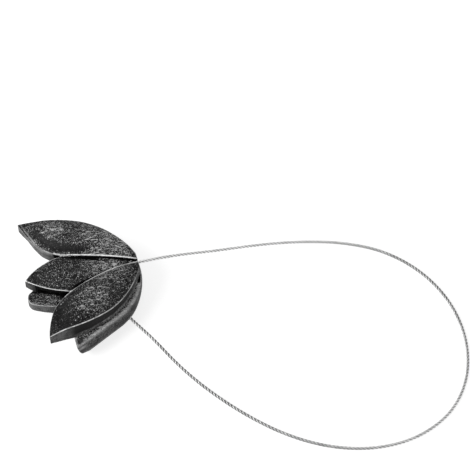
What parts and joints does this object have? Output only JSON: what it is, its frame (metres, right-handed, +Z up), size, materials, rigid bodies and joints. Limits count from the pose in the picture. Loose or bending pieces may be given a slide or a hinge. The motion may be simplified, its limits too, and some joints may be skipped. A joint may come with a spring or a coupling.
{
  "type": "magnetic curtain holdback",
  "caption": "Magnetic curtain holdback: a tulip in cast resin, split into front and back halves, on a loop of steel wire rope.",
  "frame": {"origin": "on the surface that it lies on, under the middle of the flower", "axes": "+Z up, square to the plane where the halves meet; -X along the flower from its base to the petal tips; the wire loop lies towards +X"},
  "size_m": [0.1864, 0.148, 0.0246],
  "materials": {
    "antiqued_resin": "black with silver rubbed on its edges",
    "magnet": "nickel plated",
    "wire": "twisted strands"
  },
  "bodies": {
    "root": {"front_flower": "antiqued_resin", "back_flower": "antiqued_resin", "front_magnet": "magnet", "back_magnet": "magnet", "wire_rope": "wire"}
  },
  "joints": []
}
